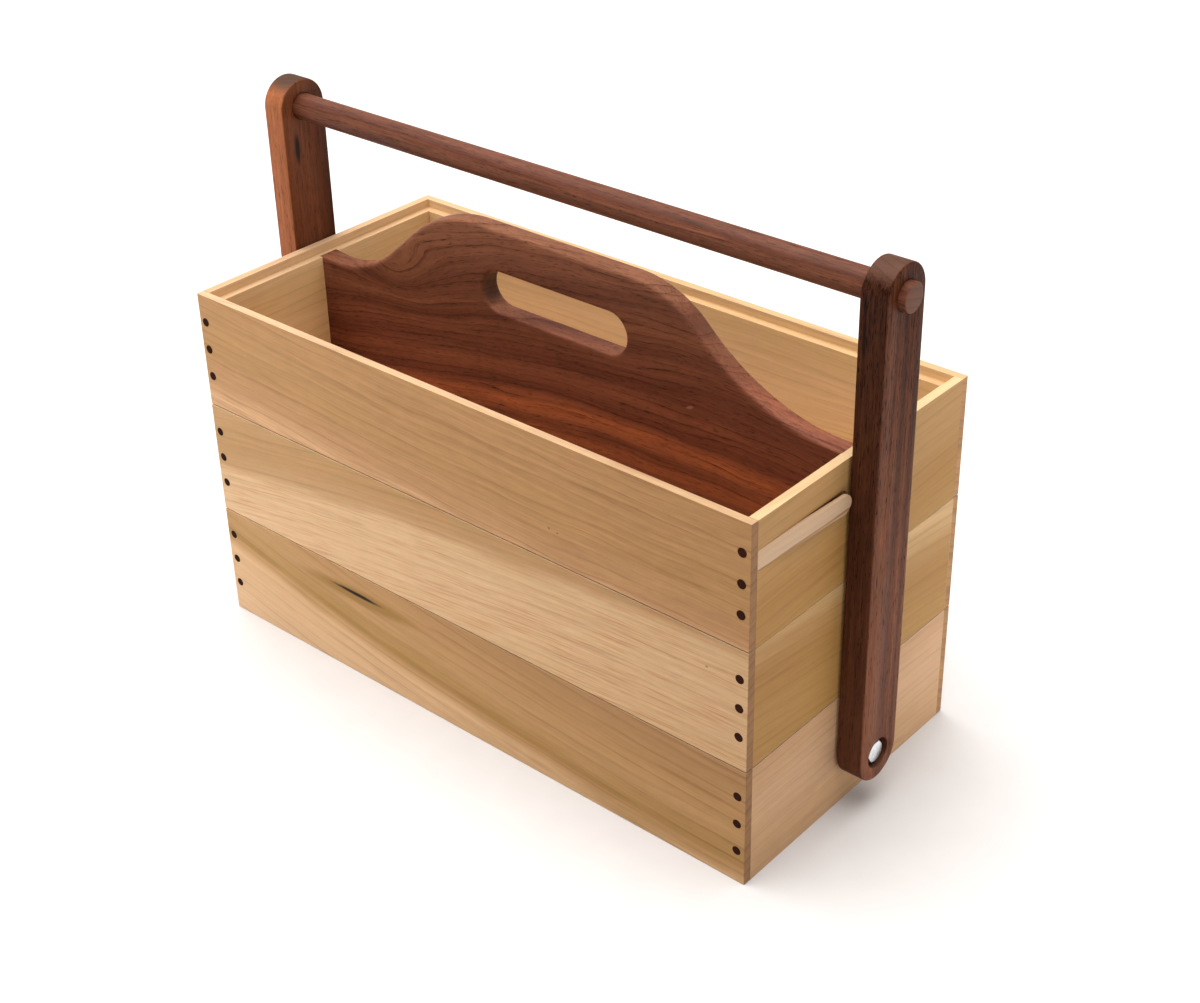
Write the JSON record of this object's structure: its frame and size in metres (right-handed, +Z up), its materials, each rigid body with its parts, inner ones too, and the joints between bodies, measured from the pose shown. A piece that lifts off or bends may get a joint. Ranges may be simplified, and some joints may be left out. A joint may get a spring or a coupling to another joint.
{
  "type": "stacking carpenter toolbox",
  "caption": "Stacking wooden toolbox: nesting trays with pinned corners, a top-tray divider with a hand hole, and a swinging bail handle held up by spring catches.",
  "frame": {"origin": "centre of the bottom tray's base, on the surface the toolbox stands on", "axes": "+X right along the length of the trays, +Y from front to back, +Z up"},
  "size_m": [0.54, 0.23, 0.392],
  "materials": {
    "poplar_bottom": "satin oiled poplar",
    "poplar_middle": "satin oiled poplar",
    "poplar_top": "satin oiled poplar",
    "plywood": "satin plywood",
    "walnut_pin": "satin walnut end grain",
    "walnut_divider": "satin oiled walnut",
    "walnut_arm": "satin oiled walnut",
    "walnut_bar": "satin oiled walnut",
    "maple": "satin maple",
    "zinc_steel": "bright zinc plating"
  },
  "bodies": {
    "bottom_tray": {"bottom_tray_front": "poplar_bottom", "bottom_tray_back": "poplar_bottom", "bottom_tray_left_end": "poplar_bottom", "bottom_tray_right_end": "poplar_bottom", "bottom_tray_panel": "plywood", "bottom_tray_pins": "walnut_pin", "left_pivot_bolt": "zinc_steel", "right_pivot_bolt": "zinc_steel", "left_spacer_washer": "zinc_steel", "right_spacer_washer": "zinc_steel", "left_nut_washer": "zinc_steel", "right_nut_washer": "zinc_steel", "left_lock_nut": "zinc_steel", "right_lock_nut": "zinc_steel"},
    "middle_tray": {"middle_tray_front": "poplar_middle", "middle_tray_back": "poplar_middle", "middle_tray_left_end": "poplar_middle", "middle_tray_right_end": "poplar_middle", "middle_tray_panel": "plywood", "middle_tray_pins": "walnut_pin"},
    "top_tray": {"top_tray_front": "poplar_top", "top_tray_back": "poplar_top", "top_tray_left_end": "poplar_top", "top_tray_right_end": "poplar_top", "top_tray_panel": "plywood", "top_tray_pins": "walnut_pin", "divider": "walnut_divider"},
    "handle": {"left_arm": "walnut_arm", "right_arm": "walnut_arm", "handle_bar": "walnut_bar"},
    "left_catch": {"left_catch": "maple"},
    "right_catch": {"right_catch": "maple"}
  },
  "joints": [
    {"name": "middle_tray_lift", "type": "slide", "parent": "bottom_tray", "child": "middle_tray", "axis": [0, 0, 1], "range_m": [0, 0.015]},
    {"name": "top_tray_lift", "type": "slide", "parent": "middle_tray", "child": "top_tray", "axis": [0, 0, 1], "range_m": [0, 0.015]},
    {"name": "handle_swing", "type": "hinge", "parent": "bottom_tray", "child": "handle", "pos_m": [0, 0, 0.04445], "axis": [-1, 0, 0], "range_deg": [0, 94]},
    {"name": "left_catch_press", "type": "hinge", "parent": "top_tray", "child": "left_catch", "pos_m": [-0.244, -0.10825, 0.2393], "axis": [0, 0, -1], "range_deg": [0, 3], "stiffness_Nm_per_rad": 6, "springref_deg": -2.86},
    {"name": "right_catch_press", "type": "hinge", "parent": "top_tray", "child": "right_catch", "pos_m": [0.244, -0.10825, 0.2393], "axis": [0, 0, 1], "range_deg": [0, 3], "stiffness_Nm_per_rad": 6, "springref_deg": -2.86}
  ]
}
